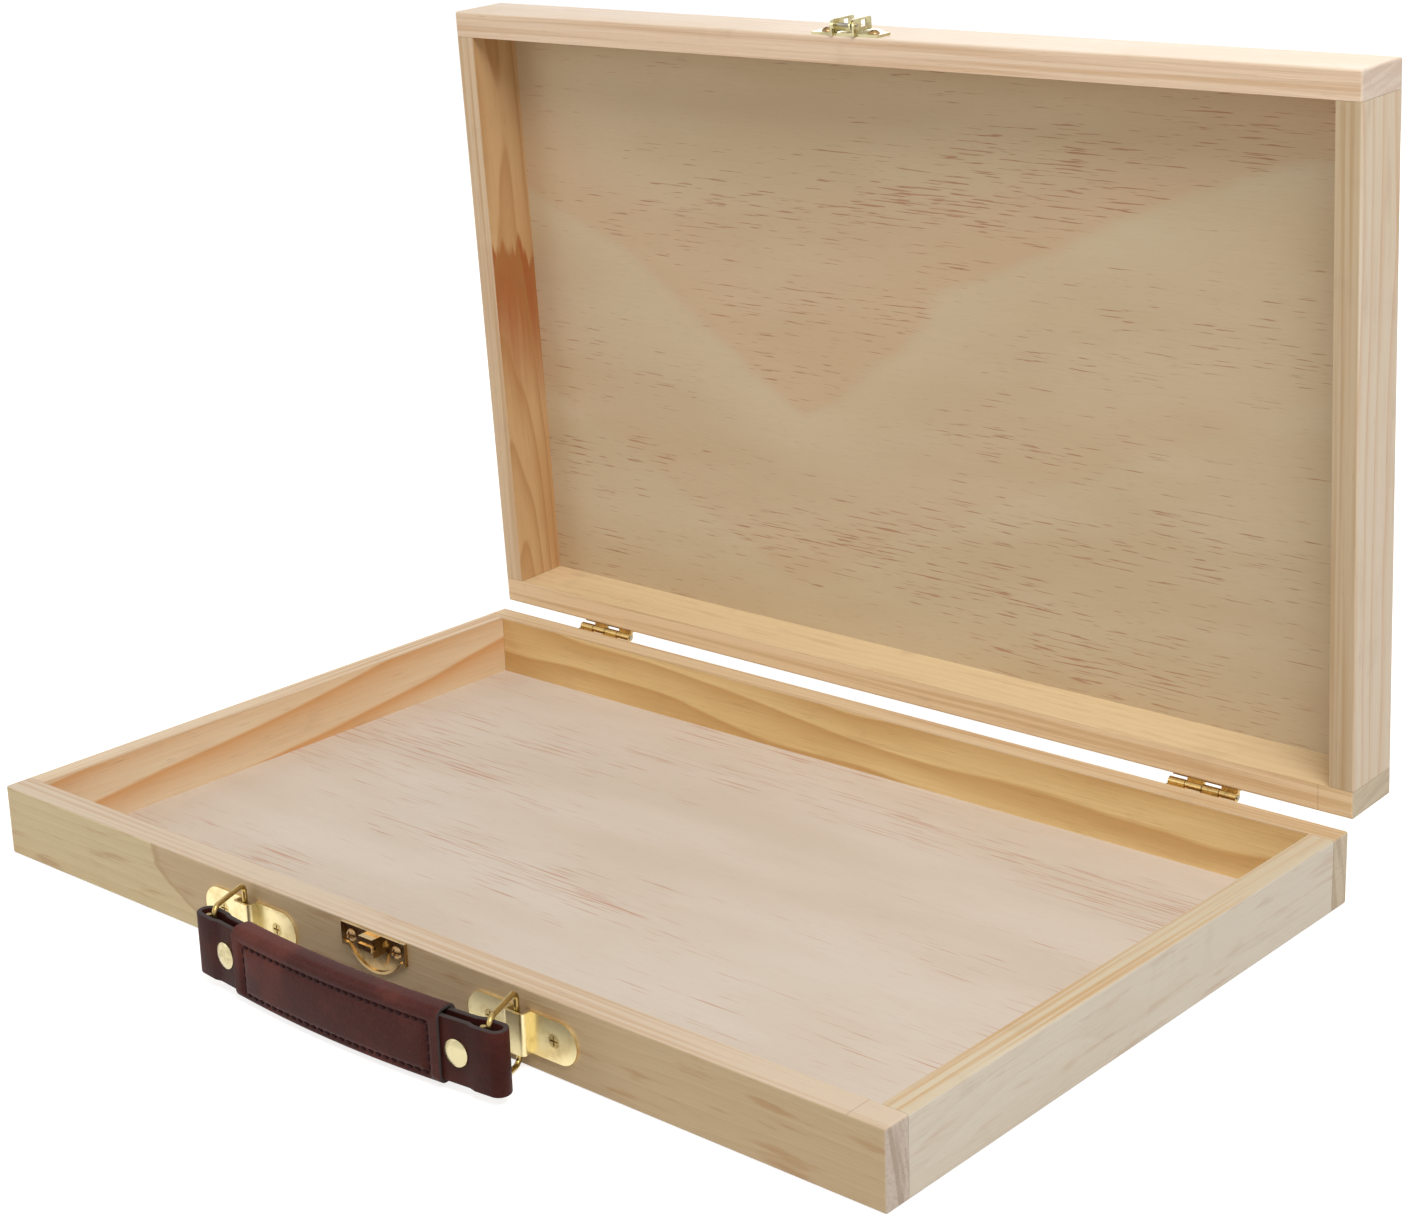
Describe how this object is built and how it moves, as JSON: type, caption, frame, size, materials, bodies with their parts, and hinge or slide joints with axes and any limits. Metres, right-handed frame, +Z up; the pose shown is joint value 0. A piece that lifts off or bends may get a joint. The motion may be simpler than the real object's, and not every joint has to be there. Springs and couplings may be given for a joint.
{
  "type": "art supply box",
  "caption": "Shallow pine art supply box with plywood panels, brass hinges and clasp, and a padded leather carrying handle, shown open.",
  "frame": {"origin": "centre of the base underside", "axes": "X along the length, -Y the front with handle and catch, +Z up"},
  "size_m": [0.38, 0.2918, 0.2702],
  "materials": {
    "pine": "sanded, clear matt",
    "plywood": "sanded, bare",
    "brass": "bright plated",
    "steel": "drawn",
    "leather": "semi-gloss",
    "padding": "matt"
  },
  "bodies": {
    "base": {"base_front_wall": "pine", "base_rear_wall": "pine", "base_left_wall": "pine", "base_right_wall": "pine", "base_bottom_panel": "plywood", "hinge_left_base_leaf": "brass", "hinge_right_base_leaf": "brass", "hinge_left_pin": "steel", "hinge_right_pin": "steel", "hinge_base_screws": "brass", "handle_bracket_left": "brass", "handle_bracket_right": "brass", "handle_bracket_screws": "brass", "catch_plate": "brass", "catch_screws": "brass"},
    "lid": {"lid_front_wall": "pine", "lid_rear_wall": "pine", "lid_left_wall": "pine", "lid_right_wall": "pine", "lid_top_panel": "plywood", "hinge_left_lid_leaf": "brass", "hinge_right_lid_leaf": "brass", "hinge_lid_screws": "brass", "latch_plate": "brass", "latch_screws": "brass", "latch_pin": "steel"},
    "flap": {"latch_flap": "brass"},
    "ring_left": {"handle_ring_left": "brass"},
    "ring_right": {"handle_ring_right": "brass"},
    "handle": {"handle_strap": "leather", "handle_grip_core": "padding", "handle_grip_sleeve": "leather", "handle_rivet_left": "brass", "handle_rivet_right": "brass"}
  },
  "joints": [
    {"name": "lid_hinge", "type": "hinge", "parent": "base", "child": "lid", "pos_m": [0, 0.1211, 0.02475], "axis": [-1, 0, 0], "range_deg": [-87.3, 92.7]},
    {"name": "flap_hinge", "type": "hinge", "parent": "lid", "child": "flap", "pos_m": [-0.0018, 0.11069, 0.26783], "axis": [-1, 0, 0], "range_deg": [-180, 0]},
    {"name": "ring_left_swing", "type": "hinge", "parent": "base", "child": "ring_left", "pos_m": [-0.06, -0.12085, 0.013], "axis": [0, 0, 1], "range_deg": [-74, 36]},
    {"name": "handle_swing", "type": "hinge", "parent": "ring_left", "child": "handle", "pos_m": [-0.05401, -0.13825, 0.013], "axis": [0, 0, 1], "range_deg": [-36, 74]},
    {"name": "ring_right_swing", "type": "hinge", "parent": "base", "child": "ring_right", "pos_m": [0.06, -0.12085, 0.013], "axis": [0, 0, 1], "range_deg": [-74, 36]}
  ],
  "couplings": [
    {"joint": "handle_swing", "follows": "ring_left_swing", "ratio": -1},
    {"joint": "ring_right_swing", "follows": "ring_left_swing", "ratio": 1}
  ]
}
